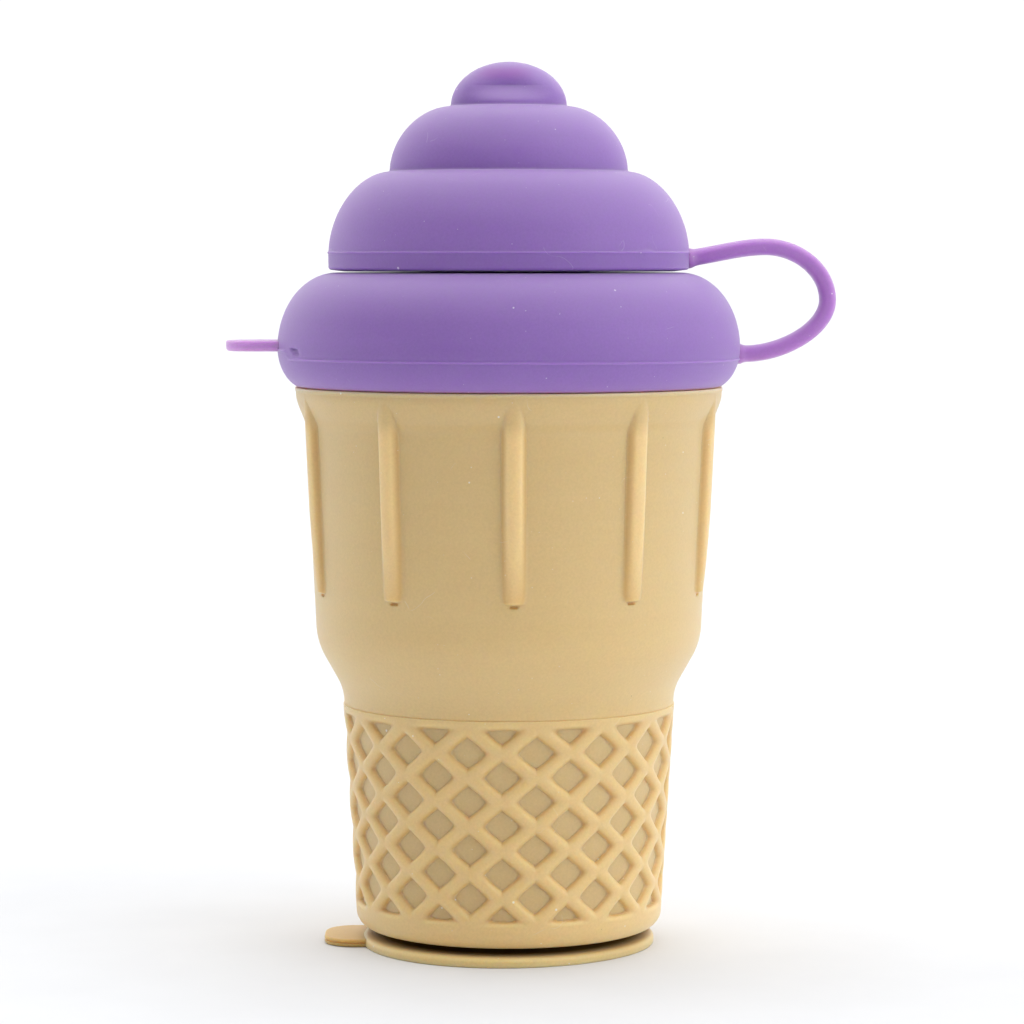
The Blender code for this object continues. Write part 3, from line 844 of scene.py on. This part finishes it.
def silicone(name, tones, spread, roughness, specular, sheen, part=None):
    """Matte moulded silicone: faint flow bands, fine grain, and a little dust and lint on it."""
    material = bpy.data.materials.new(name)
    material.use_nodes = True
    shader = material.node_tree.nodes["Principled BSDF"]
    nodes = Nodes(material.node_tree)
    light, deeper = tones
    where = nodes.add("ShaderNodeTexCoord").outputs["Object"]
    mm = nodes.mapped(where, Scale=(1000.0, 1000.0, 1000.0))
    bands = nodes.mapped(where, Scale=(12.0, 12.0, 300.0))
    blotch = nodes.noise(mm, 0.045, 3.0, 0.55)
    flow = nodes.noise(bands, 1.0, 2.0, 0.5)
    grain = nodes.noise(mm, 5.0, 3.0, 0.6)
    shade = nodes.maths("ADD", nodes.times(blotch, 0.5), nodes.times(flow, 0.5))
    base = nodes.mix(nodes.between(shade, 0.35, 0.65), deeper, light)
    if part == "cup":
        gap = under_cup(nodes, mm)
        base = cup_tints(nodes, mm, base, gap)
    speckle = nodes.between(nodes.noise(mm, 2.4, 2.0, 0.6), 0.3, 0.7, 0.965, 1.035)
    base = nodes.mix(1.0, base, nodes.grey(speckle), "MULTIPLY")
    dust = specks(nodes, mm, 0.42, 0.24, 6.0, 3.0)
    fine_dust = specks(nodes, mm, 0.9, 0.13, 5.0, 11.0)
    white = nodes.maths("MAXIMUM", dust, nodes.times(fine_dust, 0.65))
    cover = nodes.maths("MAXIMUM", nodes.times(white, 0.75), lint(nodes, mm))
    base = nodes.mix(cover, base, DUST)
    dark = specks(nodes, mm, 0.2, 0.16, 8.0, 23.0)
    base = nodes.mix(nodes.times(dark, 0.6), base, tuple(c * 0.25 for c in light))
    if part == "lid":
        base = lid_tints(nodes, mm, base)
    nodes.link(base, shader.inputs["Base Color"])
    rough = nodes.between(nodes.maths("ADD", grain, flow), 0.6, 1.4, roughness - 0.05, roughness + 0.05)
    nodes.link(rough, shader.inputs["Roughness"])
    height = nodes.maths("ADD", nodes.times(grain, 0.6), white)
    bump = nodes.add("ShaderNodeBump", {"Strength": 0.25, "Distance": 0.00003, "Height": height})
    nodes.link(bump.outputs[0], shader.inputs["Normal"])
    shader.inputs["Subsurface Weight"].default_value = 1.0
    shader.inputs["Subsurface Radius"].default_value = spread
    shader.inputs["Subsurface Scale"].default_value = MM
    shader.inputs["Specular IOR Level"].default_value = specular
    shader.inputs["Sheen Weight"].default_value = sheen
    shader.inputs["Sheen Roughness"].default_value = 0.5
    if part == "cup":
        nodes.link(nodes.between(gap, 0.0, 0.8, specular, 0.0), shader.inputs["Specular IOR Level"])
        nodes.link(nodes.between(gap, 0.0, 0.8, sheen, 0.0), shader.inputs["Sheen Weight"])
    return material


# Stage

def make_floor():
    bpy.ops.mesh.primitive_circle_add(vertices=96, radius=30.0, fill_type="NGON", location=(0, 0, 0))
    floor = bpy.context.object
    floor.name = "floor"
    material = bpy.data.materials.new("floor_white")
    material.use_nodes = True
    shader = material.node_tree.nodes["Principled BSDF"]
    nodes = Nodes(material.node_tree)
    where = nodes.add("ShaderNodeTexCoord").outputs["Object"]
    paper = nodes.between(nodes.noise(where, 40.0, 4.0), 0.3, 0.7, 0.785, 0.805)
    green = nodes.times(paper, 1.02)
    blue = nodes.times(paper, 1.055)
    tone = nodes.add("ShaderNodeCombineColor", {0: paper, 1: green, 2: blue}).outputs[0]
    nodes.link(tone, shader.inputs["Base Color"])
    shader.inputs["Roughness"].default_value = 0.9
    shader.inputs["Specular IOR Level"].default_value = 0.1
    floor.data.materials.append(material)


def make_world():
    """A white tent, brightest at the upper right and dimmer towards the camera.

    The camera itself sees it as plain white.
    """
    world = bpy.data.worlds.new("studio")
    bpy.context.scene.world = world
    world.use_nodes = True
    nodes = Nodes(world.node_tree)
    background = world.node_tree.nodes["Background"]
    direction = nodes.add("ShaderNodeTexCoord").outputs["Generated"]

    def facing(vector, low, high, to_low, to_high):
        unit = tuple(Vector(vector).normalized())
        compared = nodes.add("ShaderNodeVectorMath", {0: direction, 1: unit}, operation="DOT_PRODUCT")
        inputs = {0: compared.outputs["Value"], 1: low, 2: high, 3: to_low, 4: to_high}
        return nodes.add("ShaderNodeMapRange", inputs, interpolation_type="SMOOTHSTEP").outputs[0]

    key = facing((0.92, -0.42, 0.35), 0.76, 0.96, 0.0, 1.38)
    top = facing((0.05, -0.15, 1.0), 0.45, 0.95, 0.0, 1.25)
    behind = facing((-0.15, 1.0, 0.1), -0.1, 0.5, 0.0, 0.95)
    front = facing((-0.35, -1.0, 0.0), 0.1, 0.95, 0.2, 0.06)
    total = nodes.maths("ADD", nodes.maths("ADD", key, top), nodes.maths("ADD", behind, front))
    seen = nodes.add("ShaderNodeLightPath").outputs["Is Camera Ray"]
    strength = nodes.add("ShaderNodeMix", {0: seen, 2: total, 3: 1.05}, data_type="FLOAT").outputs[0]
    background.inputs["Color"].default_value = (1.0, 1.0, 1.0, 1.0)
    nodes.link(strength, background.inputs["Strength"])


def make_camera():
    data = bpy.data.cameras.new("camera")
    camera = bpy.data.objects.new("camera", data)
    bpy.context.scene.collection.objects.link(camera)
    camera.location = (AXIS_X * MM + CAMERA_ASIDE, -CAMERA_DISTANCE, CAMERA_HEIGHT)
    camera.rotation_euler = (math.pi / 2 - CAMERA_PITCH, 0.0, 0.0)
    data.sensor_width = 36.0
    data.lens = CAMERA_LENS
    data.clip_start = 0.05
    data.clip_end = 100.0
    data.dof.use_dof = False
    bpy.context.scene.camera = camera


def main():
    scene = bpy.context.scene
    scene.view_settings.view_transform = "Standard"
    scene.view_settings.look = "None"
    tan = silicone("tan_silicone", TAN, TAN_SPREAD, 0.45, 0.6, 0.15, "cup")
    tan_tab = silicone("tan_foot_tab", TAN_TAB, TAN_SPREAD, 0.5, 0.4, 0.1)
    purple = silicone("purple_silicone", PURPLE, PURPLE_SPREAD, 0.5, 0.4, 0.14, "lid")
    # The strap and the lid's tab take lighter copies of the purple: painted light through the thin parts
    strap = silicone("purple_strap", PURPLE_STRAP_LIT, THIN_SPREAD, 0.5, 0.5, 0.25)
    lid_tab = silicone("purple_tab", PURPLE_TAB_LIT, THIN_SPREAD, 0.5, 0.5, 0.25)
    make_cup(tan)
    make_foot_tab(tan_tab)
    make_ring(purple)
    make_cap(purple)
    make_strap(strap)
    make_lid_tab(lid_tab)
    make_floor()
    make_world()
    make_camera()


main()
